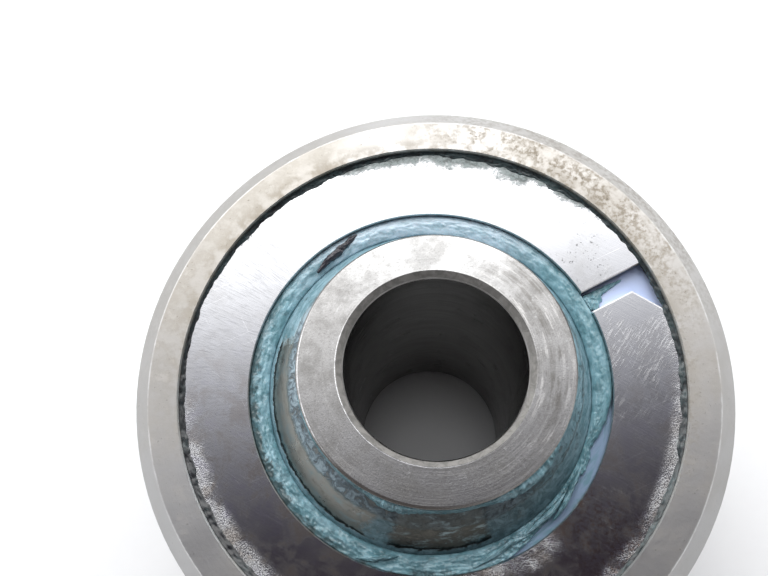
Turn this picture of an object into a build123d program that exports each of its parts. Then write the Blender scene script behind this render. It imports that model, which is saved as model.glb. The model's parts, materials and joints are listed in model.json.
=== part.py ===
from build123d import *
import math
import os

# Sealed double-row self-aligning ball bearing, inch size. The origin is the bearing's centre
# and +Z is the inner ring's bore axis. The outer ring, its snap rings and its seals stand
# tilted about the centre, because the bearing swivels in its spherical raceway.

# ---- Driving dimensions, in millimetres and degrees ----
# inner ring
bore_diameter = 12.7
inner_width = 28.575
bore_chamfer = 0.5
hub_diameter = 19.1
hub_edge_break = 0.12

# outer ring
outer_diameter = 42.8625
outer_width = 22.225
outer_chamfer = 1.24
rim_wall = 3.46
opening_edge_break = 0.1
raceway_wall = 2.93
race_gap = 3.3

# snap rings, which hold the seals in the outer ring
snap_ring_recess = 0.5
snap_ring_thickness = 0.8
snap_ring_lip = 0.23
seal_show = 1.25
snap_ring_edge_break = 0.07
gap_width = 1.55
gap_offset = 0.17
gap_azimuth = 26.5
cut_corner_depth = 2.0
cut_corner_angle = 59

# seals
seal_thickness = 0.84

# balls and cage
ball_diameter = 4.7625
balls_per_row = 15
groove_conformity = 1.04
cage_ring_thickness = 1.4
pocket_mouth_share = 0.9

# clearances
race_clearance = 0.03
groove_clearance = 0.05
seal_clearance = 0.03
seal_land_clearance = 0.05
pocket_clearance = 0.12
cage_clearance = 0.27

# how far the outer ring swivels on the inner ring, and how it stands
swivel_limit = 10
rest_tilt = 4.2
lean_azimuth = -127.6

# ---- Sizes that follow from them ----
bore_radius = bore_diameter / 2
hub_radius = hub_diameter / 2
inner_half_width = inner_width / 2

outer_radius = outer_diameter / 2
outer_half_width = outer_width / 2
opening_radius = outer_radius - rim_wall
raceway_radius = outer_radius - raceway_wall
land_radius = raceway_radius - race_gap

snap_ring_top = outer_half_width - snap_ring_recess
snap_ring_seat = snap_ring_top - snap_ring_thickness
snap_ring_radius = opening_radius + snap_ring_lip
groove_radius = snap_ring_radius + groove_clearance
groove_top = snap_ring_top + groove_clearance

seal_top = snap_ring_seat - seal_clearance
seal_bottom = seal_top - seal_thickness
seal_shoulder = seal_bottom - seal_clearance
seal_radius = opening_radius - groove_clearance
shoulder_radius = math.sqrt(raceway_radius**2 - seal_shoulder**2)

# The seal wipes the inner ring's spherical land, or clears the hub where a full swivel
# takes that further out.
swivel_angle = math.radians(swivel_limit)
hub_reach = hub_radius / math.cos(swivel_angle) + seal_top * math.tan(swivel_angle)
wiped_land_radius = land_radius + seal_land_clearance
wiped_hub_radius = hub_reach + seal_land_clearance
seal_lip_radius = max(wiped_hub_radius, math.sqrt(max(0, wiped_land_radius**2 - seal_top**2)))
snap_ring_inner_radius = seal_lip_radius + seal_show

ball_radius = ball_diameter / 2
ball_orbit = raceway_radius - race_clearance - ball_radius
pocket_radius = ball_radius + pocket_clearance
row_height = pocket_radius + cage_ring_thickness / 2
row_radius = math.sqrt(ball_orbit**2 - row_height**2)
row_elevation = math.degrees(math.asin(row_height / ball_orbit))
ball_pitch = 360 / balls_per_row

# A groove is a little wider than the ball, and deepest on the ball's line of contact.
ball_groove_radius = groove_conformity * ball_radius
groove_orbit = ball_orbit - ball_radius - race_clearance + ball_groove_radius

cage_inner_radius = land_radius + cage_clearance
cage_outer_radius = raceway_radius - cage_clearance

# The prongs end where a pocket's mouth is a little narrower than the ball.
pocket_mouth_radius = pocket_mouth_share * ball_radius
cage_half_width = row_height + math.sqrt(pocket_radius**2 - pocket_mouth_radius**2)

# ---- Planes and axes ----
centre = Vector(0, 0, 0)
lean = Vector(1, 0, 0).rotate(Axis.Z, lean_azimuth)
swivel_axis = Axis(centre, Vector(0, 0, 1).cross(lean))
outer_direction = Vector(0, 0, 1).rotate(swivel_axis, rest_tilt)
outer_side = Vector(1, 0, 0).rotate(swivel_axis, rest_tilt)
outer_axis = Axis(centre, outer_direction)

# The lower side is the upper side turned over, so both sides share the same shapes.
outer_planes = {
    "upper": Plane(centre, x_dir=outer_side, z_dir=outer_direction),
    "lower": Plane(centre, x_dir=-outer_side, z_dir=-outer_direction),
}
inner_profile_plane = Plane.XZ


def profile_plane(side_plane):
    """The half plane through a side plane's axis: x runs outward, y runs along the axis."""
    normal = side_plane.x_dir.cross(side_plane.z_dir)
    return Plane(centre, x_dir=side_plane.x_dir, z_dir=normal)


def ball_centres(row):
    """The ball centres of the upper (+1) or lower (-1) row, half a pitch apart between rows."""
    first = 0 if row > 0 else ball_pitch / 2
    angles = [math.radians(first + number * ball_pitch) for number in range(balls_per_row)]
    height = row * row_height
    return [(row_radius * math.cos(a), row_radius * math.sin(a), height) for a in angles]


def save(part, name):
    """Label a finished piece and write its STEP file."""
    part.label = name
    export_step(part, f"parts/{name}.step")


def make_inner_ring():
    """Inner ring: bored hub, spherical land under both seals, and two ball grooves."""
    with BuildPart() as inner_ring:
        with BuildSketch(inner_profile_plane) as profile:
            Circle(land_radius)
            with Locations((bore_radius, 0)):
                Rectangle(
                    land_radius,
                    inner_width,
                    align=(Align.MIN, Align.CENTER),
                    mode=Mode.INTERSECT,
                )
                Rectangle(
                    hub_radius - bore_radius,
                    inner_width,
                    align=(Align.MIN, Align.CENTER),
                )
            for end in (0, -1):
                corners = profile.vertices().group_by(Axis.Y)[end].sort_by(Axis.X)
                chamfer(corners[0], length=bore_chamfer)
                chamfer(corners[-1], length=hub_edge_break)
            with PolarLocations(groove_orbit, 2, -row_elevation, 4 * row_elevation):
                Circle(ball_groove_radius, mode=Mode.SUBTRACT)
        revolve(axis=Axis.Z)
    return inner_ring


def make_outer_ring():
    """Outer ring: one spherical raceway, and at each end a seal seat and a snap ring groove."""
    rim = outer_half_width
    upper_steps = [
        (shoulder_radius, seal_shoulder),
        (opening_radius, seal_shoulder),
        (opening_radius, snap_ring_seat),
        (groove_radius, snap_ring_seat),
        (groove_radius, groove_top),
        (opening_radius, groove_top),
        (opening_radius, rim - opening_edge_break),
        (opening_radius + opening_edge_break, rim),
        (outer_radius - outer_chamfer, rim),
        (outer_radius, rim - outer_chamfer),
    ]
    lower_steps = [(radius, -height) for radius, height in reversed(upper_steps)]
    with BuildPart() as outer_ring:
        with BuildSketch(profile_plane(outer_planes["upper"])):
            with BuildLine():
                Polyline(*upper_steps, *lower_steps)
                ThreePointArc(lower_steps[-1], (raceway_radius, 0), upper_steps[0])
            make_face()
        revolve(axis=outer_axis)
    return outer_ring


def make_snap_ring(side_plane):
    """Flat split ring. Its gap has parallel ends, and one end has its outer corner cut off."""
    near_end = gap_offset - gap_width / 2
    cut_corner_reach = 2 * cut_corner_depth * math.tan(math.radians(cut_corner_angle))
    with BuildPart() as snap_ring:
        with BuildSketch(side_plane.offset(snap_ring_seat)):
            Circle(snap_ring_radius)
            Circle(snap_ring_inner_radius, mode=Mode.SUBTRACT)
            with Locations(Location((0, 0), gap_azimuth)):
                with Locations((0, gap_offset)):
                    Rectangle(
                        outer_radius,
                        gap_width,
                        align=(Align.MIN, Align.CENTER),
                        mode=Mode.SUBTRACT,
                    )
                Polygon(
                    (snap_ring_radius - cut_corner_depth, near_end),
                    (snap_ring_radius + cut_corner_depth, near_end - cut_corner_reach),
                    (snap_ring_radius + cut_corner_depth, near_end),
                    align=None,
                    mode=Mode.SUBTRACT,
                )
        extrude(amount=snap_ring_thickness)
        top = snap_ring.faces().sort_by(Axis(centre, side_plane.z_dir))[-1]
        chamfer(top.edges(), length=snap_ring_edge_break)
    return snap_ring


def make_seal(side_plane):
    """Seal washer between the outer ring's shoulder and the snap ring, wiping the land."""
    with BuildPart() as seal:
        with BuildSketch(profile_plane(side_plane)):
            with Locations((hub_radius, seal_bottom)):
                Rectangle(
                    seal_radius - hub_radius,
                    seal_thickness,
                    align=(Align.MIN, Align.MIN),
                )
            Circle(wiped_land_radius, mode=Mode.SUBTRACT)
            Rectangle(2 * wiped_hub_radius, outer_width, mode=Mode.SUBTRACT)
        revolve(axis=outer_axis)
    return seal


def make_ball_cage():
    """One-piece cage: a ring between the rows with a prong each side between two balls."""
    with BuildPart() as ball_cage:
        with BuildSketch(inner_profile_plane):
            Circle(cage_outer_radius)
            Circle(cage_inner_radius, mode=Mode.SUBTRACT)
            Rectangle(
                raceway_radius,
                2 * cage_half_width,
                align=(Align.MIN, Align.CENTER),
                mode=Mode.INTERSECT,
            )
        revolve(axis=Axis.Z)
        with Locations(*ball_centres(1), *ball_centres(-1)):
            Sphere(pocket_radius, mode=Mode.SUBTRACT)
    return ball_cage


def make_ball(position):
    """One ball of a row."""
    with BuildPart() as ball:
        with Locations(position):
            Sphere(ball_radius)
    return ball


os.makedirs("parts", exist_ok=True)

save(make_inner_ring().part, "inner_ring")
save(make_outer_ring().part, "outer_ring")
save(make_ball_cage().part, "ball_cage")

for side, side_plane in outer_planes.items():
    save(make_snap_ring(side_plane).part, f"snap_ring_{side}")
    save(make_seal(side_plane).part, f"seal_{side}")

for side, row in (("upper", 1), ("lower", -1)):
    for number, position in enumerate(ball_centres(row), start=1):
        save(make_ball(position).part, f"ball_{side}_{number:02d}")
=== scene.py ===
import bpy
import json
import math
from collections import namedtuple
from types import SimpleNamespace
from mathutils import Matrix, Vector, noise


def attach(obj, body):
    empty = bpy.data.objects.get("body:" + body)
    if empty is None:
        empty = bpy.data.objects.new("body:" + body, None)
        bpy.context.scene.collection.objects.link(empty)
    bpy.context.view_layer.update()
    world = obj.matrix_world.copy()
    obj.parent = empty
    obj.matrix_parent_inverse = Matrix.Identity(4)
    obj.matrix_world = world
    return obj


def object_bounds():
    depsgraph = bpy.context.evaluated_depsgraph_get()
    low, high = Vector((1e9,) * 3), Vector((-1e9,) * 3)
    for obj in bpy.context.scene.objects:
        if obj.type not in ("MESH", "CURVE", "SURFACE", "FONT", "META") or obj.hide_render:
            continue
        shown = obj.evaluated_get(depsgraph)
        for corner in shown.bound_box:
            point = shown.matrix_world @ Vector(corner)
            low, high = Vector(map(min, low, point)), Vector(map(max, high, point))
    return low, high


# A sealed self-aligning ball bearing on a pale floor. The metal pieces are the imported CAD
# nodes with node materials; the grease is modelled here as lumpy meshes.

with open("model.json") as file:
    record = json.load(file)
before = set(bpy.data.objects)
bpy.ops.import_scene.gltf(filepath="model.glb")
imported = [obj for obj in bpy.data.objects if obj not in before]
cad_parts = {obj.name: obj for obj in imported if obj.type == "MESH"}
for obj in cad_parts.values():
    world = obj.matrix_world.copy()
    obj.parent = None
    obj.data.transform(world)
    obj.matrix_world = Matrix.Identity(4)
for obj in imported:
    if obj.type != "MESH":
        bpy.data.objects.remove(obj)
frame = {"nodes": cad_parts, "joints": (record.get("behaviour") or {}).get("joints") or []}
cad_low, cad_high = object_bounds()

MM = 0.001
UP = Vector((0, 0, 1))

# ---- Where the rings are, measured on the frame ----
joints = {joint["name"]: joint for joint in frame["joints"]}
outer_axis = Vector(joints["outer_ring_turn"]["axis"]).normalized()
swivel_axis = Vector(joints["swivel"]["axis"]).normalized()
tilt = outer_axis.angle(UP)
outer_from_row = Matrix.Rotation(-tilt, 3, swivel_axis)
row_from_outer = Matrix.Rotation(tilt, 3, swivel_axis)


def ring_points(node, turn=None):
    """(radius, height) of each vertex of a CAD node about Z, after an optional turn."""
    points = [vertex.co for vertex in frame["nodes"][node].data.vertices]
    if turn is not None:
        points = [turn @ point for point in points]
    return [(math.hypot(point.x, point.y), point.z) for point in points]


snap_points = ring_points("snap_ring_upper", outer_from_row)
seal_points = ring_points("seal_upper", outer_from_row)
outer_points = ring_points("outer_ring", outer_from_row)
inner_points = ring_points("inner_ring")

SNAP_TOP = max(height for _, height in snap_points)
SNAP_INNER = min(radius for radius, _ in snap_points)
SEAL_TOP = max(height for _, height in seal_points)
LIP_RADIUS = min(radius for radius, _ in seal_points)
OUTER_RADIUS = max(radius for radius, _ in outer_points)
OUTER_TOP = max(height for _, height in outer_points)
OPENING_RADIUS = min(radius for radius, height in outer_points if height > SNAP_TOP + 0.1 * MM)
FACE_EDGE_RADIUS = max(radius for radius, height in outer_points if height > OUTER_TOP - 0.01 * MM)
LAND_RADIUS = max(radius for radius, _ in inner_points)
INNER_TOP = max(height for _, height in inner_points)
HUB_RADIUS = max(radius for radius, height in inner_points if height > 0.95 * INNER_TOP)
BORE_RADIUS = min(radius for radius, _ in inner_points)
HUB_FOOT = math.sqrt(LAND_RADIUS**2 - HUB_RADIUS**2)

# Radii and heights in millimetres, for the materials.
BORE_CHAMFER = 0.5
HUB_EDGE_BREAK = 0.12
BORE = BORE_RADIUS / MM
BORE_EDGE = BORE + BORE_CHAMFER
HUB = HUB_RADIUS / MM
HUB_EDGE = HUB - HUB_EDGE_BREAK
END_FACE = INNER_TOP / MM
LIP = LIP_RADIUS / MM
SNAP_BORE = SNAP_INNER / MM
OPENING = OPENING_RADIUS / MM
FACE_EDGE = FACE_EDGE_RADIUS / MM
RIM = OUTER_RADIUS / MM

# The snap ring's gap, in degrees and millimetres: its azimuth, the cut-cornered end's distance
# to the side, the radius where that corner is cut, and how wide the painted highlight line on it
# is.
GAP_AZIMUTH = 26.5
GAP_END_OFFSET = -0.605
CUT_CORNER_RADIUS = 16.2
CUT_CORNER_ANGLE = 59
EDGE_LINE = 0.05


# ---- Node material helpers ----
Polar = namedtuple("Polar", "across away radius height")


class Graph:
    """Adds nodes to a node tree. Inputs may be sockets, numbers or tuples."""

    def __init__(self, tree):
        self.tree = tree
        tree.nodes.clear()

    def put(self, socket, value):
        if isinstance(value, bpy.types.NodeSocket):
            self.tree.links.new(value, socket)
        elif value is not None:
            socket.default_value = value

    def node(self, kind, inputs=None, **settings):
        made = self.tree.nodes.new(kind)
        for name, value in settings.items():
            setattr(made, name, value)
        for name, value in (inputs or {}).items():
            self.put(made.inputs[name], value)
        return made

    def math(self, operation, first, second=None):
        made = self.node("ShaderNodeMath", {0: first}, operation=operation)
        self.put(made.inputs[1], second)
        return made.outputs[0]

    def plus(self, first, second):
        return self.math("ADD", first, second)

    def minus(self, first, second):
        return self.math("SUBTRACT", first, second)

    def times(self, first, second):
        return self.math("MULTIPLY", first, second)

    def over(self, first, second):
        return self.math("DIVIDE", first, second)

    def most(self, first, second):
        return self.math("MAXIMUM", first, second)

    def size_of(self, value):
        return self.math("ABSOLUTE", value)

    def blend(self, factor, first, second):
        """Colour mix: first where factor is 0, second where it is 1."""
        made = self.node("ShaderNodeMix", data_type="RGBA")
        self.put(made.inputs["Factor"], factor)
        for index, value in ((6, first), (7, second)):
            self.put(made.inputs[index], value)
        return made.outputs[2]

    def step(self, value, low, high, to_low=0.0, to_high=1.0):
        """Smooth step of value between low and high."""
        names = ("Value", "From Min", "From Max", "To Min", "To Max")
        inputs = dict(zip(names, (value, low, high, to_low, to_high)))
        made = self.node("ShaderNodeMapRange", inputs, interpolation_type="SMOOTHSTEP")
        return made.outputs[0]

    def below(self, value, low, high):
        """1 where value is below low, falling to 0 at high."""
        return self.step(value, low, high, 1.0, 0.0)

    def noise(self, vector, scale, detail=4.0, roughness=0.55, distortion=0.0):
        """Fractal noise, about 0.3 to 0.7. The scale is in features per metre of object space."""
        names = ("Vector", "Scale", "Detail", "Roughness", "Distortion")
        inputs = dict(zip(names, (vector, scale, detail, roughness, distortion)))
        return self.node("ShaderNodeTexNoise", inputs).outputs[0]

    def combine(self, x, y, z):
        return self.node("ShaderNodeCombineXYZ", {"X": x, "Y": y, "Z": z}).outputs[0]

    def separate(self, vector):
        return self.node("ShaderNodeSeparateXYZ", {0: vector}).outputs

    def turned(self, vector, axis, angle):
        """A vector turned about an axis through the origin, by an angle in radians."""
        inputs = {"Vector": vector, "Axis": tuple(axis), "Angle": angle}
        made = self.node("ShaderNodeVectorRotate", inputs, rotation_type="AXIS_ANGLE")
        return made.outputs[0]

    def position(self, to_outer=False):
        """The point in the row frame at rest, or about the outer ring's own axis."""
        place = self.node("ShaderNodeTexCoord").outputs["Object"]
        if to_outer:
            place = self.turned(place, swivel_axis, -tilt)
        return place

    def polar(self, place):
        """A place about the axis: a unit vector towards it, its radius and its height in mm."""
        x, y, z = self.separate(place)
        square = self.plus(self.math("POWER", x, 2.0), self.math("POWER", y, 2.0))
        radius = self.math("SQRT", square)
        across = self.over(x, radius)
        away = self.over(y, radius)
        return Polar(across, away, self.over(radius, MM), self.over(z, MM))

    def around(self, polar, turns, per_mm):
        """Noise coordinates drawn out round the axis, on faces, walls and chamfers alike."""
        along = self.minus(polar.radius, self.times(self.size_of(polar.height), 0.5))
        across = self.times(polar.across, turns)
        away = self.times(polar.away, turns)
        return self.combine(across, away, self.times(along, per_mm))

    def streaked(self, place, angle, across_scale, along_scale):
        """Noise coordinates drawn out in straight lines, at an angle in degrees from X."""
        turned = self.turned(place, UP, -math.radians(angle))
        scale = (along_scale, across_scale, along_scale)
        return self.node("ShaderNodeMapping", {"Vector": turned, "Scale": scale}).outputs[0]

    def line_at(self, value, middle, half_width):
        """1 where value is within half_width of middle, 0 a little outside it."""
        return self.below(self.size_of(self.minus(value, middle)), half_width, 1.7 * half_width)

    def toward(self, polar, azimuth, spread):
        """1 towards an azimuth in degrees, falling to 0 at spread degrees from it."""
        angle = math.radians(azimuth)
        along_x = self.times(polar.across, math.cos(angle))
        along_y = self.times(polar.away, math.sin(angle))
        return self.step(self.plus(along_x, along_y), math.cos(math.radians(spread)), 1.0)

    def bump(self, height, distance, strength=1.0, normal=None):
        inputs = {"Height": height, "Distance": distance, "Strength": strength}
        made = self.node("ShaderNodeBump", inputs)
        self.put(made.inputs["Normal"], normal)
        return made.outputs[0]

    def surface(self, **inputs):
        """The Principled shader and its output; underscores in names stand for spaces."""
        named = {name.replace("_", " "): value for name, value in inputs.items()}
        shader = self.node("ShaderNodeBsdfPrincipled", named)
        output = self.node("ShaderNodeOutputMaterial")
        self.put(output.inputs["Surface"], shader.outputs[0])


def material_graph(name):
    made = bpy.data.materials.new(name)
    made.use_nodes = True
    return made, Graph(made.node_tree)


def rgb(red, green, blue):
    return (red, green, blue, 1.0)


def grey(value, warm=0.0):
    """A near-grey colour; warm above 0 leans to yellow, below 0 to blue."""
    return rgb(value * (1 + warm), value, value * (1 - 1.6 * warm))


def scaled(colour, share):
    """The same hue, lighter or darker."""
    return rgb(*(share * value for value in colour[:3]))


# ---- The inner ring's material ----
def inner_ring_grain(g, place, polar):
    """The noises that the inner ring's marks, patches and grease are made of."""
    return SimpleNamespace(
        marks=g.noise(g.around(polar, 1.6, 5.5), 1.0, 6.0, 0.7),
        arcs=g.noise(g.around(polar, 2.6, 1.9), 1.0, 3.0, 0.55),
        strokes=g.noise(g.around(polar, 9.0, 2.6), 1.0, 6.0, 0.7, 0.6),
        patches=g.noise(place, 420.0, 6.0, 0.65),
        scuffs=g.noise(place, 1500.0, 5.0, 0.7, 0.8),
        fine=g.noise(place, 9000.0, 3.0, 0.6),
    )


def ground_face(g, polar, grain):
    """Ground steel: dull patches, a polished far part, broken turning marks, small pits."""
    colour = g.blend(g.step(grain.patches, 0.38, 0.66), grey(0.295, 0.012), grey(0.205, 0.02))
    polished = g.times(g.toward(polar, 92.0, 62.0), g.step(grain.patches, 0.34, 0.6, 0.75, 0.35))
    colour = g.blend(polished, colour, grey(0.52))

    marked = g.plus(g.times(g.toward(polar, 8.0, 70.0), 0.7), 0.10)
    marked = g.times(marked, g.step(grain.patches, 0.36, 0.56, 0.3, 1.0))
    turning = g.plus(g.times(grain.arcs, 0.6), g.times(grain.marks, 0.4))
    light_marks = g.times(g.step(turning, 0.51, 0.60), marked)
    dark_marks = g.times(g.below(turning, 0.40, 0.48), marked)
    colour = g.blend(light_marks, colour, grey(0.52, 0.015))
    colour = g.blend(g.times(dark_marks, 0.8), colour, grey(0.12, 0.06))

    colour = g.blend(g.step(grain.scuffs, 0.56, 0.74, 0.0, 0.5), colour, grey(0.46))
    colour = g.blend(g.step(grain.fine, 0.54, 0.74, 0.0, 0.5), colour, grey(0.10, 0.06))
    return g.blend(g.step(grain.fine, 0.28, 0.42, 0.28, 0.0), colour, grey(0.50))


def edge_wear_highlights_and_shadow(g, polar, grain, colour):
    """Broken bright lines: wear round the bore's edge with a painted highlight at its near left, a
    painted highlight on the hub's edge, and a painted brown shadow under the hub's edge.
    """
    line = 0.03
    broken = g.step(grain.scuffs, 0.36, 0.56, 0.35, 1.0)
    # The bore's line: wear all round, and a painted highlight at the near left.
    bore_side = g.plus(g.toward(polar, 222.0, 88.0), 0.2)
    bore_wear_and_highlight = g.times(g.line_at(polar.radius, BORE_EDGE, line), bore_side)
    colour = g.blend(g.times(bore_wear_and_highlight, g.times(broken, 0.7)), colour, grey(0.9))
    # Painted highlight on the hub's edge at the left.
    hub_edge_highlight = g.times(g.line_at(polar.radius, HUB_EDGE, line), g.toward(polar, 190.0, 42.0))
    colour = g.blend(g.times(hub_edge_highlight, g.times(broken, 0.8)), colour, grey(0.9))
    # Painted shadow: a brown line under the hub's edge at the near side.
    hub_edge_shadow = g.line_at(polar.radius, HUB_EDGE, 0.07)
    hub_edge_shadow = g.times(hub_edge_shadow, g.toward(polar, 252.0, 48.0))
    return g.blend(g.times(hub_edge_shadow, 0.75), colour, rgb(0.05, 0.038, 0.032))


def on_bore_chamfer(g, polar):
    """1 on the bore's chamfers."""
    past_bore = g.step(polar.radius, BORE + 0.05, BORE + 0.12)
    return g.times(past_bore, g.below(polar.radius, BORE_EDGE - 0.06, BORE_EDGE - 0.01))


def bore_colour(g, polar, grain, on_chamfer, colour):
    """Dull light chamfers, and a darker bore with turning marks."""
    chamfer = g.blend(g.step(grain.scuffs, 0.40, 0.62), grey(0.16, 0.03), grey(0.27, 0.03))
    colour = g.blend(g.times(on_chamfer, 0.9), colour, chamfer)
    wall = g.blend(g.step(grain.marks, 0.4, 0.6), grey(0.19, 0.02), grey(0.27, 0.01))
    return g.blend(g.below(polar.radius, BORE + 0.02, BORE + 0.06), colour, wall)


def on_flank(g, polar):
    """1 below the end faces, on the hub's wall and the spherical land."""
    below_face = g.below(g.size_of(polar.height), END_FACE - 0.28, END_FACE - 0.16)
    return g.times(below_face, g.step(polar.radius, 8.6, 9.2))


def bare_land(g, polar, grain):
    """The land where the seal has wiped it: dark with painted shade, pale at the left, with olive
    and blue stains.
    """
    patches = g.step(grain.patches, 0.4, 0.62)
    # The dark tone is painted shade in the recess below the hub.
    colour = g.blend(patches, rgb(0.045, 0.046, 0.040), rgb(0.09, 0.092, 0.082))
    colour = g.blend(g.times(g.toward(polar, 200.0, 62.0), 0.85), colour, rgb(0.46, 0.47, 0.44))
    stain = g.noise(g.around(polar, 7.0, 1.6), 1.0, 6.0, 0.7, 0.4)
    colour = g.blend(g.step(stain, 0.50, 0.66, 0.0, 0.5), colour, rgb(0.17, 0.165, 0.14))
    return g.blend(g.step(stain, 0.34, 0.50, 0.8, 0.0), colour, rgb(0.30, 0.40, 0.43))


def flank_grease(g, place, polar, grain):
    """Shares of the flank: all that grease covers, the part by the hub, the lip's painted shadow
    line.
    """
    lip_radius = g.polar(g.position(to_outer=True)).radius
    lip_radius = g.plus(lip_radius, g.times(g.minus(grain.scuffs, 0.5), 0.5))
    under_lip = g.step(lip_radius, LIP - 0.50, LIP - 0.42)
    # The lip's dark line is a painted shadow of the seal's lip.
    line = g.step(lip_radius, LIP - 0.72, LIP - 0.55)
    line = g.times(line, g.below(lip_radius, LIP - 0.50, LIP - 0.40))

    window = g.toward(polar, 271.0, 20.0)
    wiped_band = g.toward(polar, 206.0, 52.0)
    shore = g.times(g.minus(g.noise(place, 700.0, 5.0, 0.7), 0.5), 1.6)
    bare = g.most(g.times(window, 1.3), g.times(wiped_band, 0.9))
    bare = g.step(g.plus(bare, shore), 0.08, 0.50)

    on_wall = g.below(polar.radius, HUB + 0.1, HUB + 0.5)
    hub_zone = g.plus(polar.radius, g.times(shore, 0.45))
    by_hub = g.most(on_wall, g.below(hub_zone, HUB + 0.78, HUB + 1.04))
    off_hub = g.minus(1.0, by_hub)
    bare = g.times(bare, off_hub)

    line = g.times(line, g.step(bare, 0.2, 0.8, 0.12, 1.0))
    wall_cover = g.times(by_hub, g.step(grain.scuffs, 0.36, 0.50, 0.45, 1.0))
    wall_cover = g.times(wall_cover, g.step(window, 0.0, 0.4, 1.0, 0.35))
    land_cover = g.times(g.minus(1.0, bare), off_hub)
    cover = g.most(wall_cover, g.most(land_cover, under_lip))
    return cover, by_hub, line


def flank_grease_colour(g, polar, grain, by_hub):
    """Teal strokes, darker on the near side with dirt and painted shade, and blue-grey beside the
    hub on the left, with painted shade on the hub's wall at the near side.
    """
    strokes = g.step(grain.strokes, 0.36, 0.62)
    scuffs = g.step(grain.scuffs, 0.44, 0.62)
    clean = g.blend(strokes, rgb(0.10, 0.20, 0.235), rgb(0.24, 0.37, 0.43))
    # Darker towards the near side: dirt, and painted shade where the hub shades it.
    dirt_and_shade = g.blend(scuffs, rgb(0.035, 0.065, 0.075), rgb(0.13, 0.20, 0.225))
    colour = g.blend(g.times(g.toward(polar, 285.0, 62.0), 0.8), clean, dirt_and_shade)

    wall = g.blend(g.step(grain.scuffs, 0.42, 0.62), rgb(0.07, 0.10, 0.125), rgb(0.31, 0.40, 0.45))
    # Painted shade on the hub's wall at the near side.
    wall = g.blend(g.times(g.toward(polar, 272.0, 48.0), 0.75), wall, rgb(0.05, 0.075, 0.085))
    left_or_near = g.step(g.toward(polar, 225.0, 95.0), 0.0, 0.3)
    return g.blend(g.times(by_hub, left_or_near), colour, wall)


def inner_ring_material():
    """Ground steel with worn edges and a dull chamfer, grease on its land and hub, and painted
    highlights and shade on its edges, land and lip line.
    """
    made, g = material_graph("ground_steel")
    place = g.position()
    polar = g.polar(place)
    grain = inner_ring_grain(g, place, polar)
    colour = ground_face(g, polar, grain)
    # Worn lines on the edges, painted highlights on them, and a painted shadow under the hub's
    # edge.
    colour = edge_wear_highlights_and_shadow(g, polar, grain, colour)
    chamfer = on_bore_chamfer(g, polar)
    colour = bore_colour(g, polar, grain, chamfer, colour)
    flank = on_flank(g, polar)
    # The bare land, darkened with painted shade except at the left.
    colour = g.blend(g.times(flank, 0.85), colour, bare_land(g, polar, grain))
    cover, by_hub, lip_shadow = flank_grease(g, place, polar, grain)
    grease = g.times(cover, flank)
    colour = g.blend(grease, colour, flank_grease_colour(g, polar, grain, by_hub))
    # Painted shadow of the seal's lip along its line.
    colour = g.blend(g.times(g.times(lip_shadow, flank), 0.9), colour, grey(0.012))

    metallic = g.minus(1.0, g.times(grease, 0.9))
    metallic = g.minus(metallic, g.times(chamfer, 0.62))
    roughness = g.step(grain.patches, 0.34, 0.7, 0.15, 0.27)
    roughness = g.plus(roughness, g.step(grain.marks, 0.3, 0.8, -0.03, 0.05))
    roughness = g.plus(roughness, g.times(flank, 0.12))
    roughness = g.plus(roughness, g.times(chamfer, 0.25))
    rings = g.bump(grain.marks, 0.006 * MM, 0.7)
    pits = g.bump(grain.fine, 0.005 * MM, 0.6, rings)
    smears = g.times(grease, g.plus(grain.scuffs, grain.strokes))
    smeared = g.bump(smears, 0.06 * MM, 0.8, pits)
    g.surface(Base_Color=colour, Metallic=metallic, Roughness=roughness, Normal=smeared)
    return made


# ---- The outer ring's material ----
def clouded_plating(g, polar, grain, warm_side):
    """Warm-grey plating: cream at the far left, a painted highlight at the far side, faintly
    clouded.
    """
    colour = g.blend(warm_side, grey(0.48, 0.004), grey(0.53, 0.035))
    cream = g.times(g.toward(polar, 138.0, 66.0), g.step(grain.blotch, 0.38, 0.62, 0.45, 0.85))
    colour = g.blend(cream, colour, grey(0.30, 0.085))
    # Painted highlight: a lighter band at the far side.
    colour = g.blend(g.times(g.toward(polar, 90.0, 24.0), 0.8), colour, grey(0.66, 0.012))
    colour = g.blend(g.step(grain.cloud, 0.46, 0.72, 0.0, 0.6), colour, grey(0.40, 0.075))
    return g.blend(g.step(grain.blotch, 0.52, 0.68, 0.0, 0.5), colour, grey(0.55, 0.03))


def brown_stain(g, polar, grain, warm_side):
    """Where the plating is browned: at the far right, and in spots beside the opening."""
    by_opening = g.below(polar.radius, OPENING + 0.15, OPENING + 1.5)
    patch = g.times(g.toward(polar, 52.0, 50.0), g.step(grain.fine, 0.38, 0.6))
    patch = g.times(patch, g.step(grain.blotch, 0.34, 0.56))
    spots = g.times(by_opening, g.step(grain.blotch, 0.4, 0.6))
    spots = g.times(spots, g.plus(g.times(warm_side, 0.5), 0.12))
    right = g.times(g.toward(polar, 6.0, 44.0), g.step(grain.fine, 0.40, 0.62))
    right = g.times(right, by_opening)
    return g.most(patch, g.most(spots, g.times(right, 0.6)))


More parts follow.
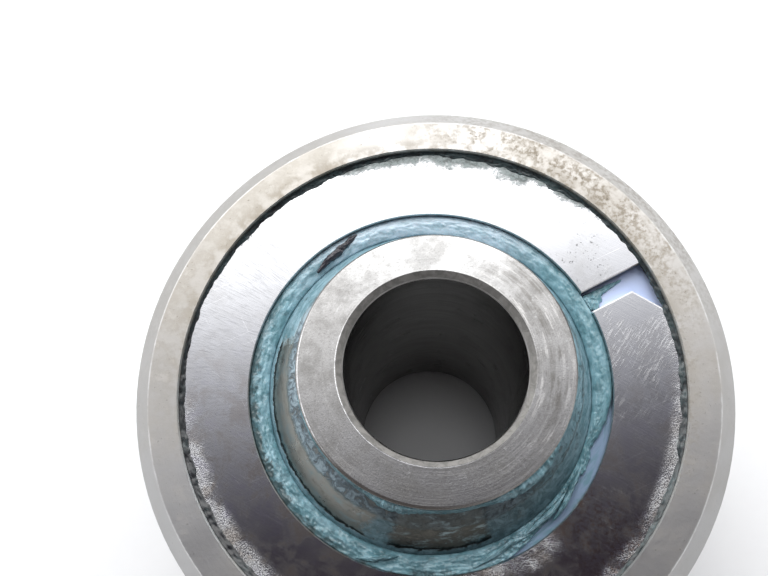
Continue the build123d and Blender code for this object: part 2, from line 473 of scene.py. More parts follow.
def worn_plating(g, polar, grain, on_wall, colour):
    """A worn line on the face's edge, a greyer wall, and marks and scratches round the rim."""
    inside = g.step(polar.radius, FACE_EDGE - 0.10, FACE_EDGE - 0.02)
    outside = g.below(polar.radius, FACE_EDGE + 0.02, FACE_EDGE + 0.10)
    worn = g.times(g.times(inside, outside), g.step(grain.blotch, 0.36, 0.6, 0.1, 0.75))
    colour = g.blend(worn, colour, grey(0.75))
    colour = g.blend(g.times(on_wall, 0.5), colour, grey(0.50, -0.004))
    on_rim = g.step(polar.radius, RIM - 0.06, RIM - 0.02)
    turning = g.times(on_rim, g.step(grain.marks, 0.42, 0.62, 0.22, 0.0))
    colour = g.blend(turning, colour, grey(0.30, 0.03))
    scratches = g.noise(g.around(polar, 3.0, 14.0), 1.0, 4.0, 0.8)
    scratched = g.times(on_rim, g.step(scratches, 0.60, 0.68))
    return g.blend(g.times(scratched, 0.35), colour, grey(0.70))


def outer_ring_material():
    """Satin warm-grey plating, stained brown in patches, with a bright worn chamfer edge and a
    painted highlight at the far side.
    """
    made, g = material_graph("satin_plating")
    place = g.position(to_outer=True)
    polar = g.polar(place)
    grain = SimpleNamespace(
        cloud=g.noise(place, 170.0, 6.0, 0.65, 0.3),
        blotch=g.noise(place, 620.0, 5.0, 0.65),
        fine=g.noise(place, 2600.0, 5.0, 0.7),
        speck=g.noise(place, 5200.0, 3.0, 0.7),
        marks=g.noise(g.around(polar, 2.0, 3.0), 1.0, 5.0, 0.65),
    )
    warm_side = g.toward(polar, 80.0, 135.0)
    colour = clouded_plating(g, polar, grain, warm_side)
    browned = brown_stain(g, polar, grain, warm_side)
    colour = g.blend(g.times(browned, 0.66), colour, rgb(0.25, 0.205, 0.14))
    pitted = g.times(g.step(grain.speck, 0.62, 0.72), g.step(grain.blotch, 0.42, 0.58))
    colour = g.blend(g.times(pitted, 0.7), colour, grey(0.13, 0.1))
    on_wall = g.step(polar.radius, FACE_EDGE, FACE_EDGE + 0.15)
    colour = worn_plating(g, polar, grain, on_wall, colour)

    roughness = g.plus(g.step(grain.cloud, 0.3, 0.75, 0.34, 0.43), g.times(browned, 0.2))
    roughness = g.plus(roughness, g.times(on_wall, 0.12))
    rings = g.bump(grain.marks, 0.008 * MM, 0.6)
    dimples = g.bump(grain.fine, 0.012 * MM, 0.6, rings)
    g.surface(Base_Color=colour, Metallic=1.0, Roughness=roughness, Normal=dimples)
    return made


# ---- The snap rings' material ----
def snap_ring_grain(g, place):
    """The noises that the snap ring's scratches, clouds and residue are made of."""
    return SimpleNamespace(
        smear=g.noise(place, 300.0, 6.0, 0.65),
        zone=g.noise(place, 420.0, 4.0, 0.65),
        mottle=g.noise(place, 480.0, 5.0, 0.7, 0.4),
        flecks=g.noise(place, 4200.0, 3.0, 0.65),
        crumbs=g.noise(place, 9500.0, 3.0, 0.75),
        scratches=g.noise(g.streaked(place, 150, 9000.0, 700.0), 1.0, 5.0, 0.75, 0.3),
        swirl=g.noise(g.streaked(place, 56, 6500.0, 900.0), 1.0, 5.0, 0.7, 0.5),
    )


def gap_edge_highlight(g, place):
    """A painted highlight: a bright line on the edges of the snap ring's cut-cornered end."""
    x, y, _ = g.separate(g.turned(place, UP, -math.radians(GAP_AZIMUTH)))
    outward = g.minus(g.over(x, MM), CUT_CORNER_RADIUS)
    sideways = g.minus(g.over(y, MM), GAP_END_OFFSET)
    on_end = g.below(g.size_of(g.plus(sideways, EDGE_LINE)), EDGE_LINE, 1.6 * EDGE_LINE)
    on_end = g.times(on_end, g.below(outward, 0.0, EDGE_LINE))
    slope = math.radians(CUT_CORNER_ANGLE)
    beyond = g.plus(g.times(outward, math.sin(slope)), g.times(sideways, math.cos(slope)))
    on_cut = g.below(g.size_of(g.plus(beyond, EDGE_LINE)), EDGE_LINE, 1.6 * EDGE_LINE)
    on_cut = g.times(on_cut, g.step(outward, -EDGE_LINE, 0.0))
    on_ring_side = g.step(outward, -6.0, -5.0)
    near_gap = g.step(sideways, -2.5, -2.0)
    return g.times(g.most(on_end, on_cut), g.times(on_ring_side, near_gap))


def mottled_polish(g, grain, near_half):
    """Polished steel, with brown and violet clouds on the near half."""
    colour = g.blend(g.step(grain.smear, 0.4, 0.7), grey(0.60, -0.012), grey(0.50, -0.004))
    brown = g.times(g.step(grain.mottle, 0.50, 0.66), near_half)
    colour = g.blend(g.times(brown, 0.55), colour, rgb(0.40, 0.335, 0.29))
    violet = g.times(g.below(grain.mottle, 0.36, 0.48), near_half)
    return g.blend(g.times(violet, 0.45), colour, rgb(0.50, 0.48, 0.60))


def scratched_polish(g, place, polar, grain, swirled, colour):
    """Long crossing scratches, drawn strokes at the left, swirls and a dull patch at the right."""
    long_lines = g.noise(g.streaked(place, 24, 7000.0, 160.0), 1.0, 3.0, 0.6)
    crossing = g.noise(g.streaked(place, 118, 6000.0, 220.0), 1.0, 3.0, 0.6)
    lines = g.most(g.step(long_lines, 0.66, 0.72), g.step(crossing, 0.69, 0.74))
    colour = g.blend(g.times(lines, 0.4), colour, grey(0.9, -0.006))
    turns = 160.0
    stroke_at = g.combine(
        g.times(polar.across, turns),
        g.times(polar.away, turns),
        g.times(polar.radius, 0.9),
    )
    strokes = g.step(g.noise(stroke_at, 1.0, 4.0, 0.7), 0.46, 0.70, 0.0, 0.6)
    colour = g.blend(g.times(g.toward(polar, 155.0, 60.0), strokes), colour, grey(0.36, -0.012))
    colour = g.blend(g.times(swirled, 0.4), colour, grey(0.80, -0.006))
    dull = g.times(g.toward(polar, 356.0, 12.0), g.step(grain.smear, 0.46, 0.52))
    return g.blend(g.times(dull, 0.35), colour, grey(0.40, -0.01))


def residue_zone(g, polar, grain):
    """Where dried residue lies: by the opening at both sides, by the grease at the near side."""
    left = g.step(polar.radius, OPENING - 1.9, OPENING - 0.4)
    left = g.times(left, g.toward(polar, 230.0, 54.0))
    near = g.below(polar.radius, SNAP_BORE + 0.7, SNAP_BORE + 1.9)
    near = g.times(g.toward(polar, 288.0, 26.0), near)
    right = g.step(polar.radius, OPENING - 1.4, OPENING - 0.4, 0.0, 0.6)
    right = g.times(g.toward(polar, 335.0, 52.0), right)
    zone = g.most(left, g.most(near, right))
    return g.times(zone, g.step(grain.zone, 0.38, 0.64, 0.25, 1.0))


def ragged_film(g, polar, grain):
    """A ragged film of grease by the opening, wide on the far side and narrow elsewhere."""
    width = g.plus(g.times(g.toward(polar, 80.0, 56.0), 0.95), 0.16)
    reach = g.minus(polar.radius, g.minus(OPENING, width))
    ragged = g.times(g.minus(grain.smear, 0.5), 3.4)
    ragged = g.plus(ragged, g.minus(grain.flecks, 0.5))
    return g.step(g.plus(reach, ragged), 0.10, 0.65)


def flecked(g, polar, grain, colour):
    """A rusty patch, and dark dots that are thicker beside the gap."""
    rust = g.times(g.toward(polar, 318.0, 13.0), g.step(grain.flecks, 0.44, 0.66))
    colour = g.blend(g.times(rust, 0.45), colour, rgb(0.30, 0.15, 0.08))
    dots = g.times(g.step(grain.flecks, 0.70, 0.75), g.step(grain.smear, 0.5, 0.6))
    by_gap = g.times(g.toward(polar, 42.0, 17.0), g.step(grain.flecks, 0.62, 0.67))
    dots = g.most(dots, g.times(by_gap, g.step(grain.smear, 0.44, 0.52)))
    return g.blend(g.times(dots, 0.7), colour, grey(0.08, 0.02))


def snap_ring_material():
    """Polished flat steel with fine scratches, dried residue, a thin film of grease, and a painted
    highlight on the gap's end.
    """
    made, g = material_graph("polished_spring_steel")
    place = g.position(to_outer=True)
    polar = g.polar(place)
    grain = snap_ring_grain(g, place)
    near_half = g.toward(polar, 265.0, 120.0)
    colour = mottled_polish(g, grain, near_half)
    swirled = g.times(g.toward(polar, 10.0, 28.0), g.step(grain.smear, 0.44, 0.56, 0.08, 1.0))
    swirled = g.times(swirled, g.step(grain.swirl, 0.50, 0.64))
    colour = scratched_polish(g, place, polar, grain, swirled, colour)
    zone = residue_zone(g, polar, grain)
    residue = g.times(g.step(grain.crumbs, 0.44, 0.64, 0.20, 1.0), zone)
    colour = g.blend(g.times(residue, 0.85), colour, grey(0.25, -0.008))
    haze = g.times(g.step(grain.mottle, 0.46, 0.62), near_half)
    colour = g.blend(g.times(haze, 0.5), colour, rgb(0.22, 0.19, 0.165))
    film = ragged_film(g, polar, grain)
    flecks = g.step(grain.flecks, 0.4, 0.6)
    film_colour = g.blend(flecks, rgb(0.04, 0.06, 0.055), rgb(0.20, 0.245, 0.24))
    colour = g.blend(g.times(film, 0.85), colour, film_colour)
    colour = flecked(g, polar, grain, colour)
    # Painted highlight along the edges of the gap's cut-cornered end.
    edge = gap_edge_highlight(g, place)
    colour = g.blend(g.times(edge, 0.9), colour, grey(1.0))

    metallic = 1.0
    for mask, dulled in ((film, 0.85), (edge, 0.6), (haze, 0.09), (residue, 0.16)):
        metallic = g.minus(metallic, g.times(mask, dulled))
    roughness = g.step(grain.smear, 0.35, 0.75, 0.10, 0.17)
    for mask, roughened in ((residue, 0.2), (zone, 0.12), (swirled, 0.12), (film, 0.25)):
        roughness = g.plus(roughness, g.times(mask, roughened))
    roughness = g.plus(roughness, g.step(grain.scratches, 0.56, 0.75, 0.0, 0.10))
    cuts = g.bump(g.plus(grain.scratches, g.times(swirled, 0.6)), 0.004 * MM, 0.5)
    lumps = g.bump(g.plus(residue, g.times(film, grain.flecks)), 0.022 * MM, 0.8, cuts)
    g.surface(Base_Color=colour, Metallic=metallic, Roughness=roughness, Normal=lumps)
    return made


# ---- The other materials ----
def seal_material():
    """Waxy pale blue-white plastic, faintly clouded, darker at the right as painted shade, and
    smeared with grease where it is wiped.
    """
    made, g = material_graph("seal_plastic")
    place = g.position()
    polar = g.polar(place)
    cloud = g.noise(place, 300.0, 4.0)
    colour = g.blend(cloud, rgb(0.42, 0.51, 0.75), rgb(0.54, 0.62, 0.83))
    # Darker at the right, where the collar is scraped off: painted shade.
    wiped = g.times(g.toward(polar, 322.0, 44.0), g.step(cloud, 0.34, 0.6, 0.6, 1.0))
    colour = g.blend(g.step(wiped, 0.0, 0.5), colour, rgb(0.22, 0.31, 0.44))
    smear = g.noise(g.around(polar, 6.0, 1.8), 1.0, 5.0, 0.65, 0.5)
    smeared = g.times(g.step(wiped, 0.0, 0.3), g.step(smear, 0.46, 0.60))
    colour = g.blend(g.times(smeared, 0.8), colour, rgb(0.12, 0.25, 0.30))
    dimples = g.bump(g.noise(place, 4000.0, 3.0), 0.004 * MM, 0.5)
    g.surface(
        Base_Color=colour,
        Roughness=0.38,
        Subsurface_Weight=0.25,
        Subsurface_Radius=(0.6 * MM, 0.7 * MM, 0.9 * MM),
        Subsurface_Scale=1.0,
        Normal=dimples,
    )
    return made


def ball_material():
    """Polished chrome steel with a faint haze of grease."""
    made, g = material_graph("ball_steel")
    haze = g.noise(g.position(), 500.0, 4.0)
    colour = g.blend(g.step(haze, 0.45, 0.7, 0.0, 0.4), grey(0.78), rgb(0.42, 0.55, 0.56))
    roughness = g.step(haze, 0.4, 0.7, 0.06, 0.22)
    g.surface(Base_Color=colour, Metallic=1.0, Roughness=roughness)
    return made


def cage_material():
    """Machined brass with fine tool marks."""
    made, g = material_graph("cage_brass")
    polar = g.polar(g.position())
    marks = g.noise(g.around(polar, 1.0, 6.0), 1.0, 5.0, 0.65)
    colour = g.blend(marks, rgb(0.62, 0.42, 0.16), rgb(0.80, 0.60, 0.28))
    roughness = g.step(marks, 0.3, 0.7, 0.25, 0.4)
    rings = g.bump(marks, 0.005 * MM, 0.6)
    g.surface(Base_Color=colour, Metallic=1.0, Roughness=roughness, Normal=rings)
    return made


def grease_colour(g, place, polar, grain, tones):
    """Strokes and lumps between two tones, with painted highlights on lump tops and painted shade
    in hollows, pale at the far side as a painted sheen, darker at the right and the near side as
    painted shade, and dirty at the rim, where painted shade also lies.
    """
    light, dark, dirt = tones.light, tones.dark, tones.dirt
    colour = g.blend(g.step(grain.strokes, 0.36, 0.62), dark, light)
    # Painted highlight on the lumps' tops and painted shade in the hollows between them.
    colour = g.blend(g.step(grain.lump, 0.52, 0.70, 0.0, 0.55), colour, scaled(light, 1.5))
    hollow_shade = g.times(g.below(grain.lump, 0.36, 0.46), 0.5)
    colour = g.blend(hollow_shade, colour, scaled(dark, 0.4))
    # Paler at the far side: painted sheen where the light falls.
    thin = g.times(g.toward(polar, 92.0, 56.0), g.step(grain.strokes, 0.34, 0.6, 0.5, 1.0))
    colour = g.blend(g.times(thin, tones.thinned), colour, rgb(0.60, 0.70, 0.80))
    # Darker at the right and at the near side: painted shade.
    shaded_right_and_near = g.most(g.toward(polar, 5.0, 65.0), g.toward(polar, 262.0, 40.0))
    colour = g.blend(g.times(shaded_right_and_near, 0.42), colour, dark)

    # Dark dirt blots, made heavier along the rim by the snap ring and towards the near side as
    # painted shade.
    rim = g.step(polar.radius, SNAP_BORE - 0.75, SNAP_BORE - 0.10)
    blots = g.step(g.noise(place, 800.0, 5.0, 0.7), 0.46, 0.6)
    blots_and_shade = g.times(blots, g.most(rim, 0.35))
    blots_and_shade = g.times(blots_and_shade, g.plus(g.times(g.toward(polar, 262.0, 100.0), 0.85), 0.12))
    colour = g.blend(blots_and_shade, colour, scaled(dark, 0.28))
    wide_rim = g.step(polar.radius, SNAP_BORE - 1.3, SNAP_BORE - 0.15)
    ragged_rim = g.plus(wide_rim, g.times(g.minus(grain.lump, 0.5), 3.0))
    rim_dirt = g.times(g.step(ragged_rim, 0.55, 1.0), g.toward(polar, 200.0, 60.0))
    colour = g.blend(g.times(rim_dirt, 0.85), colour, dirt)
    specks = g.step(grain.grit, 0.72 - tones.dirt_share, 0.80 - tones.dirt_share)
    return g.blend(specks, colour, dirt)


def grease_material(name, light, dark, dirt, dirt_share, thinned=0.0):
    """Wet lumpy grease between two tones, drawn out round the ring, with dirt in it."""
    made, g = material_graph(name)
    place = g.position(to_outer=True)
    polar = g.polar(place)
    grain = SimpleNamespace(
        strokes=g.noise(g.around(polar, 9.0, 2.6), 1.0, 6.0, 0.7, 0.6),
        lump=g.noise(place, 1100.0, 6.0, 0.68, 0.4),
        grit=g.noise(place, 4200.0, 4.0, 0.65),
    )
    tones = SimpleNamespace(
        light=light, dark=dark, dirt=dirt, dirt_share=dirt_share, thinned=thinned
    )
    waves = g.bump(grain.lump, 0.07 * MM, 0.55)
    drawn = g.bump(grain.strokes, 0.05 * MM, 0.5, waves)
    ripples = g.bump(grain.grit, 0.02 * MM, 0.5, drawn)
    g.surface(
        Base_Color=grease_colour(g, place, polar, grain, tones),
        Roughness=g.step(grain.lump, 0.3, 0.7, 0.46, 0.3),
        Subsurface_Weight=0.12,
        Subsurface_Radius=(0.3 * MM, 0.6 * MM, 0.7 * MM),
        Subsurface_Scale=1.0,
        Coat_Weight=0.5,
        Coat_Roughness=0.15,
        Normal=ripples,
    )
    return made


def floor_material():
    """Matt white board with a very faint grain."""
    made, g = material_graph("white_board")
    grain = g.noise(g.position(), 900.0, 4.0)
    colour = g.blend(grain, grey(0.765, -0.008), grey(0.785, -0.008))
    g.surface(Base_Color=colour, Roughness=0.9)
    return made


def dress(nodes, material):
    """Give CAD nodes a material."""
    for name in nodes:
        slots = frame["nodes"][name].data.materials
        slots.clear()
        slots.append(material)


sides = ("upper", "lower")
balls = [name for name in frame["nodes"] if name.startswith(("ball_upper", "ball_lower"))]
dress(["inner_ring"], inner_ring_material())
dress(["outer_ring"], outer_ring_material())
dress([f"snap_ring_{side}" for side in sides], snap_ring_material())
dress([f"seal_{side}" for side in sides], seal_material())
dress(balls, ball_material())
dress(["ball_cage"], cage_material())

teal_grease = grease_material(
    "teal_grease",
    light=rgb(0.245, 0.41, 0.475),
    dark=rgb(0.095, 0.215, 0.25),
    dirt=rgb(0.03, 0.05, 0.05),
    dirt_share=0.04,
    thinned=0.75,
)
dirty_grease = grease_material(
    "dirty_grease",
    light=rgb(0.055, 0.085, 0.088),
    dark=rgb(0.012, 0.016, 0.018),
    dirt=rgb(0.004, 0.004, 0.006),
    dirt_share=0.16,
)
black_grease = grease_material(
    "black_grease",
    light=rgb(0.030, 0.026, 0.036),
    dark=rgb(0.010, 0.008, 0.013),
    dirt=rgb(0.004, 0.003, 0.005),
    dirt_share=0.1,
)


# ---- Grease ----
def rough(azimuth, along, seed, scale):
    """Fractal noise, about -1 to 1, on a ring: azimuth in radians, along in millimetres."""
    radius = 12.5
    apart = 40.0 * seed
    point = Vector((radius * math.cos(azimuth), radius * math.sin(azimuth), along + apart))
    return noise.fractal(point * scale, 1.0, 2.0, 4)


def hump(azimuth, centre, spread):
    """A smooth hump of height 1 around a centre; azimuth in radians, the others in degrees."""
    apart = abs((math.degrees(azimuth) - centre + 180) % 360 - 180)
    if apart >= spread:
        return 0.0
    return 0.5 + 0.5 * math.cos(math.pi * apart / spread)


def cylindrical(azimuth, radius, height):
    return Vector((radius * math.cos(azimuth), radius * math.sin(azimuth), height))


def loft(name, outlines, closed, turn, body, material):
    """A solid through outlines of equal length, joined end to end or capped at both ends."""
    count = len(outlines[0])
    vertices = [tuple(turn @ point) for outline in outlines for point in outline]
    faces = []
    total = len(outlines)
    for step in range(total if closed else total - 1):
        start = step * count
        following = ((step + 1) % total) * count
        for index in range(count):
            after = (index + 1) % count
            faces.append((start + index, following + index, following + after, start + after))
    if not closed:
        faces.append(tuple(range(count)))
        faces.append(tuple(reversed(range((total - 1) * count, total * count))))
    mesh = bpy.data.meshes.new(name)
    mesh.from_pydata(vertices, [], faces)
    mesh.validate()
    mesh.shade_smooth()
    mesh.materials.append(material)
    made = bpy.data.objects.new(name, mesh)
    bpy.context.scene.collection.objects.link(made)
    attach(made, body)


def ring_of(section, steps):
    """The outlines of section(azimuth) all the way round."""
    azimuths = [2 * math.pi * step / steps for step in range(steps)]
    return [[cylindrical(azimuth, *point) for point in section(azimuth)] for azimuth in azimuths]


def arc_of(section, first, last, steps):
    """The outlines of section(azimuth, share) from one azimuth in degrees to another."""
    outlines = []
    for step in range(steps + 1):
        share = step / steps
        azimuth = math.radians(first + (last - first) * share)
        outlines.append([cylindrical(azimuth, *point) for point in section(azimuth, share)])
    return outlines


turned_over = Matrix.Rotation(math.pi, 3, "Y")
side_turns = {"upper": row_from_outer, "lower": row_from_outer @ turned_over}
inner_turns = {"upper": Matrix.Identity(3), "lower": turned_over}


def collar_section(azimuth, seed, wiped):
    """Grease squeezed out over the seal and its lip, up to the snap ring's inner edge."""
    across = 20
    sunk = 0.05 * MM
    lowest, highest = SEAL_TOP + 0.04 * MM, SEAL_TOP + 0.98 * MM
    scrape = min(1.0, 1.7 * hump(azimuth, 325, 36)) * (1 + 0.25 * rough(azimuth, 20, seed, 1.4))
    scrape *= wiped
    clump = wiped * hump(azimuth, 308, 34)
    lumpy = 0.45 + 0.55 * hump(azimuth, 255, 130)

    outer = SNAP_INNER - (0.015 + min(0.85, 0.75 * scrape)) * MM
    base = SEAL_TOP - sunk
    hidden = LIP_RADIUS + 0.003 * MM
    edge = LIP_RADIUS - (0.16 + 0.03 * rough(azimuth, 0, seed, 1.2)) * MM
    edge_height = math.sqrt(LAND_RADIUS**2 - edge**2) + 0.02 * MM
    outline = [(hidden, base), (hidden, SEAL_TOP + 0.01 * MM), (edge, edge_height)]
    for index in range(1, across + 1):
        share = index / across
        radius = edge + (outer - edge) * share
        floor = edge_height + (SEAL_TOP + 0.30 * MM - edge_height) * share
        crown = math.sin(math.pi * min(1.0, 0.04 + 0.84 * share)) ** 0.75
        swell = 0.14 * rough(azimuth, 3 * share, seed, 0.7)
        lumps = 0.10 * rough(azimuth, 5 * share, seed + 1, 1.5)
        ridges = abs(rough(azimuth, 4 * share, seed + 2, 2.4))
        rise = crown * (0.26 + lumpy * (swell + lumps + 0.10 * ridges))
        rise += clump * crown * (0.3 * ridges + 0.2 * lumps) - 0.30 * scrape * share
        outline.append((radius, max(lowest, min(highest, floor + rise * MM))))
    outline.append((outer, base))
    return outline


def corner_section(azimuth, seed):
    """Dirty grease in the corner where the snap ring meets the outer ring's opening."""
    across = 8
    overlap = 0.02 * MM
    sunk = 0.03 * MM
    wide_patch = hump(azimuth, 68, 30) * 0.30 + hump(azimuth, 118, 30) * 0.18
    wide_patch += hump(azimuth, 212, 50) * 0.22 + hump(azimuth, 350, 40) * 0.16
    ragged = 0.13 * rough(azimuth, 0, seed, 0.55) + 0.10 * rough(azimuth, 3, seed, 2.2)
    width = max(0.10, 0.30 + wide_patch * (1 + rough(azimuth, 9, seed, 0.9)) + ragged) * MM
    wall = OPENING_RADIUS + overlap
    rise = (0.18 + 0.08 * rough(azimuth, 5, seed, 1.6)) * MM
    base = SNAP_TOP - sunk
    outline = [(wall, base), (wall, SNAP_TOP + rise)]
    for index in range(1, across):
        share = index / across
        drop = (1 - share) ** 1.6
        lumps = 0.05 * MM * rough(azimuth, 5 + 6 * share, seed, 3.5) * math.sin(math.pi * share)
        outline.append((wall - width * share, SNAP_TOP + rise * drop * 0.9 + 0.015 * MM + lumps))
    outline.append((wall - width, base))
    return outline


def wall_section(azimuth, share, seed):
    """Grease caught on the hub's wall: thin at its foot, where the seal comes near it."""
    up = 14
    low = HUB_FOOT + 0.05 * MM
    high = INNER_TOP - (0.35 + 0.25 * rough(azimuth, 2, seed, 0.9)) * MM
    ends = min(1.0, 5 * share, 5 * (1 - share))
    heavy = 0.35 * hump(azimuth, 252, 16) + 0.55 * hump(azimuth, 312, 28) + 0.06
    sunk = HUB_RADIUS - 0.10 * MM
    outline = [(sunk, low)]
    for index in range(up + 1):
        rise = index / up
        height = low + (high - low) * rise
        thickness = 0.05 + heavy * math.sin(math.pi * rise ** 1.6) ** 0.7
        lumps = (0.03 + 0.45 * heavy) * rough(azimuth, 4 * rise, seed, 1.9)
        lumps += 0.04 * rough(azimuth, 5 * rise, seed + 1, 5.0)
        ceiling = 0.10 + 0.45 * max(0.0, min(1.0, (height - HUB_FOOT) / MM - 0.5))
        stand = min(ceiling, thickness + lumps - 0.02) * ends - 0.05 * (1 - ends)
        outline.append((HUB_RADIUS + max(-0.08, stand) * MM, height))
    outline.append((sunk, high))
    return outline


def drawn_path(stations, base, pieces=10):
    """(middle, width, rise) along stations of (azimuth, radius, width, rise), degrees and mm."""
    path = []
    for first, second in zip(stations, stations[1:]):
        for step in range(pieces + (second is stations[-1])):
            ease = step / pieces
            azimuth, radius, width, rise = (a + (b - a) * ease for a, b in zip(first, second))
            middle = cylindrical(math.radians(azimuth), radius * MM, base)
            path.append((middle, width * MM, rise * MM))
    return path


def streak_outlines(stations, base):
    """A drawn-out lump with a flat underside over stations of azimuth, radius, width, rise."""
    around = 12
    sunk = 0.02 * MM
    path = drawn_path(stations, base)
    lofted = []
    for index, (middle, width, rise) in enumerate(path):
        ahead = path[min(index + 1, len(path) - 1)][0]
        behind = path[max(index - 1, 0)][0]
        sideways = (ahead - behind).cross(UP).normalized()
        outline = []
        for place in range(around + 1):
            share = 2 * place / around - 1
            grain_at = middle + sideways * share * MM
            ragged = 1 + 0.35 * noise.fractal(grain_at * 2500, 1.0, 2.0, 4)
            lump = 1 + 0.5 * noise.fractal(grain_at * 4000, 1.0, 2.0, 4)
            lift = rise * lump * math.sqrt(max(0.0, 1 - share**2))
            outline.append(middle + sideways * (0.5 * width * share * ragged) + UP * lift)
        outline.append(middle - UP * sunk)
        lofted.append(outline)
    return lofted


# The grease on each side has its own seed, and only the upper collar is scraped.
collar_steps = 1080
corner_steps = 1200
hub_arc = {"first": 160, "last": 350, "steps": 500}
for number, side in enumerate(sides):
    seed = 2 + 11 * number
    wiped = 1 - number
    collar = ring_of(lambda azimuth: collar_section(azimuth, seed, wiped), collar_steps)
    loft(f"grease_collar_{side}", collar, True, side_turns[side], "seals", teal_grease)
    corner = ring_of(lambda azimuth: corner_section(azimuth, seed + 4), corner_steps)
    loft(f"grease_corner_{side}", corner, True, side_turns[side], "outer_ring", dirty_grease)
    hub = arc_of(lambda azimuth, share: wall_section(azimuth, share, seed + 6), **hub_arc)
    loft(f"grease_hub_{side}", hub, False, inner_turns[side], "inner_ring", teal_grease)

# A dark blob smeared over the collar beside the hub.
blob_stations = (
    (133, SNAP_BORE - 1.05, 0.15, 0.05),
    (128, SNAP_BORE - 0.85, 0.55, 0.22),
    (122, SNAP_BORE - 0.70, 0.60, 0.26),
    (119, SNAP_BORE - 0.55, 0.50, 0.24),
    (117, SNAP_BORE - 0.38, 0.46, 0.22),
    (114, SNAP_BORE - 0.20, 0.12, 0.05),
)
blob = streak_outlines(blob_stations, SEAL_TOP + 0.50 * MM)
loft("grease_blob", blob, False, row_from_outer, "seals", black_grease)

# Curled crests where the collar is torn. Each starts and ends in a tip, which is this wide
# and rises this far, in millimetres.
tip = (0.1, 0.05)
crest_paths = (
    ((283, 12.7, *tip), (289, 12.3, 0.5, 0.40), (297, 12.0, 0.4, 0.38), (302, 12.2, *tip)),
    ((301, 12.1, *tip), (307, 11.95, 0.4, 0.42), (314, 12.0, 0.5, 0.40), (321, 11.9, *tip)),
    ((312, 12.5, *tip), (318, 12.3, 0.4, 0.36), (325, 12.0, 0.4, 0.36), (332, 11.9, *tip)),
    ((246, 12.8, *tip), (251, 12.4, 0.5, 0.30), (256, 12.0, 0.4, 0.34), (259, 11.8, *tip)),
)
for number, stations in enumerate(crest_paths, start=1):
    crest = streak_outlines(stations, SEAL_TOP + 0.52 * MM)
    loft(f"grease_crest_{number}", crest, False, row_from_outer, "seals", teal_grease)

# Grease spilled into the inner end of each snap ring's gap.
spill_stations = (
    (GAP_AZIMUTH + 0.7, SNAP_BORE + 0.04, 1.34, 0.46),
    (GAP_AZIMUTH + 0.7, SNAP_BORE + 0.45, 1.34, 0.40),
    (GAP_AZIMUTH + 1.2, SNAP_BORE + 0.80, 1.10, 0.26),
    (GAP_AZIMUTH + 2.0, SNAP_BORE + 1.30, 0.60, 0.20),
    (GAP_AZIMUTH + 2.2, SNAP_BORE + 2.40, 0.36, 0.14),
    (GAP_AZIMUTH + 2.1, SNAP_BORE + 3.20, 0.10, 0.04),
)
for side in sides:
    spill = streak_outlines(spill_stations, SEAL_TOP + 0.035 * MM)
    loft(f"grease_spill_{side}", spill, False, side_turns[side], "outer_ring", teal_grease)


# ---- Floor, light and camera ----
# The room overhead, from dark on the near side to a bright band and a dimmer far side.
OVERHEAD = (
    (0.0, rgb(0.012, 0.009, 0.011)),
    (0.07, rgb(0.017, 0.015, 0.018)),
    (0.14, rgb(0.048, 0.046, 0.053)),
    (0.19, rgb(0.105, 0.105, 0.116)),
    (0.25, rgb(0.20, 0.20, 0.212)),
    (0.30, rgb(0.34, 0.34, 0.355)),
    (0.36, rgb(0.52, 0.52, 0.53)),
    (0.48, grey(1.0)),
    (0.65, grey(1.0)),
    (0.85, grey(0.45)),
)
ROOM_STRENGTH = 3.6


def make_floor():
    """A board under the bearing, far wider than the camera sees."""
    half = 2.0
    plan = ((-half, -half), (half, -half), (half, half), (-half, half))
    corners = [(x, y, cad_low[2]) for x, y in plan]
    mesh = bpy.data.meshes.new("floor")
    mesh.from_pydata(corners, [], [(0, 1, 2, 3)])
    mesh.materials.append(floor_material())
    floor = bpy.data.objects.new("floor", mesh)
    bpy.context.scene.collection.objects.link(floor)


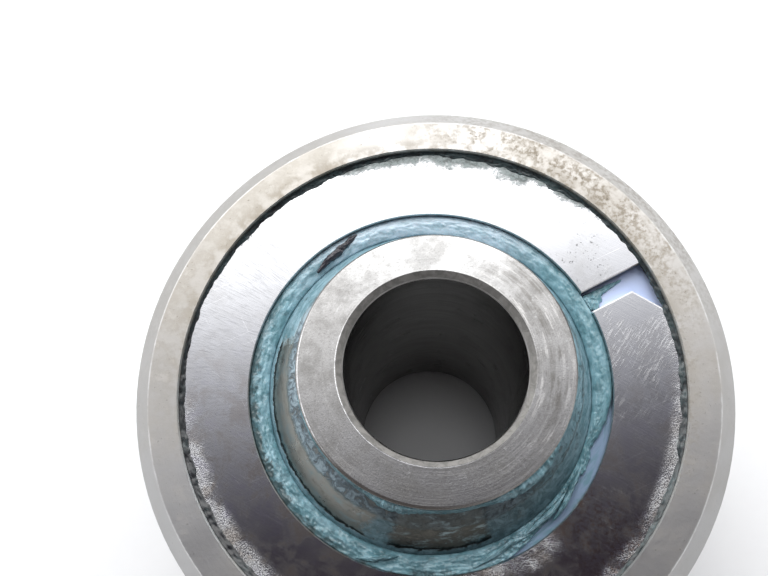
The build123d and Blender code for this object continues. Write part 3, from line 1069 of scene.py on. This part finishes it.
def make_world():
    """A bright room with its light on the far side, and a dark area on the near side."""
    world = bpy.data.worlds.new("room")
    bpy.context.scene.world = world
    world.use_nodes = True
    g = Graph(world.node_tree)
    direction = g.node("ShaderNodeTexCoord").outputs["Generated"]
    x, y, z = g.separate(direction)
    farness = g.plus(y, g.times(x, -0.12))
    inputs = {"Value": farness, "From Min": -0.1, "From Max": 0.9}
    share = g.node("ShaderNodeMapRange", inputs).outputs[0]
    overhead = g.node("ShaderNodeValToRGB", {"Fac": share})
    elements = overhead.color_ramp.elements
    for index, (place, colour) in enumerate(OVERHEAD):
        element = elements[index] if index < 2 else elements.new(place)
        element.position = place
        element.color = colour
    horizon = g.blend(g.step(farness, -0.6, 0.8), grey(0.16), grey(0.42))
    room = g.blend(g.step(z, 0.28, 0.52), horizon, overhead.outputs["Color"])
    background = g.node("ShaderNodeBackground", {"Color": room, "Strength": ROOM_STRENGTH})
    output = g.node("ShaderNodeOutputWorld")
    g.put(output.inputs["Surface"], background.outputs[0])


def make_light(name, place, size, energy):
    """A soft round light aimed at the bearing; surfaces mirror the room, not this light."""
    data = bpy.data.lights.new(name, "AREA")
    data.shape = "DISK"
    data.size = size
    data.energy = energy
    lamp = bpy.data.objects.new(name, data)
    lamp.location = place
    lamp.rotation_euler = Vector(place).to_track_quat("Z", "Y").to_euler()
    lamp.visible_glossy = False
    bpy.context.scene.collection.objects.link(lamp)


def make_camera(place, forward, right, lens):
    """A camera at a place in millimetres; forward and right say how it is turned."""
    data = bpy.data.cameras.new("camera")
    data.lens = lens
    data.sensor_width = 36.0
    data.clip_start = 1 * MM
    camera = bpy.data.objects.new("camera", data)
    right = Vector(right).normalized()
    forward = Vector(forward).normalized()
    up = right.cross(forward)
    turn = Matrix((right, up, -forward)).transposed()
    camera.matrix_world = Matrix.Translation(Vector(place) * MM) @ turn.to_4x4()
    bpy.context.scene.collection.objects.link(camera)
    bpy.context.scene.camera = camera


make_floor()
make_world()
make_light("window_light", place=(-0.12, 0.50, 0.40), size=0.5, energy=2.8)
make_light("ceiling_light", place=(0.0, 0.06, 0.60), size=0.14, energy=0.29)
# Above the bearing and a little towards -Y, as fitted to the ring edges in the photo.
make_camera(
    place=(-1.66, -15.06, 75.09),
    forward=(-0.0288, 0.3207, -0.9467),
    right=(0.99954, 0.0, -0.0304),
    lens=43.28,
)
bpy.context.scene.view_settings.view_transform = "Standard"
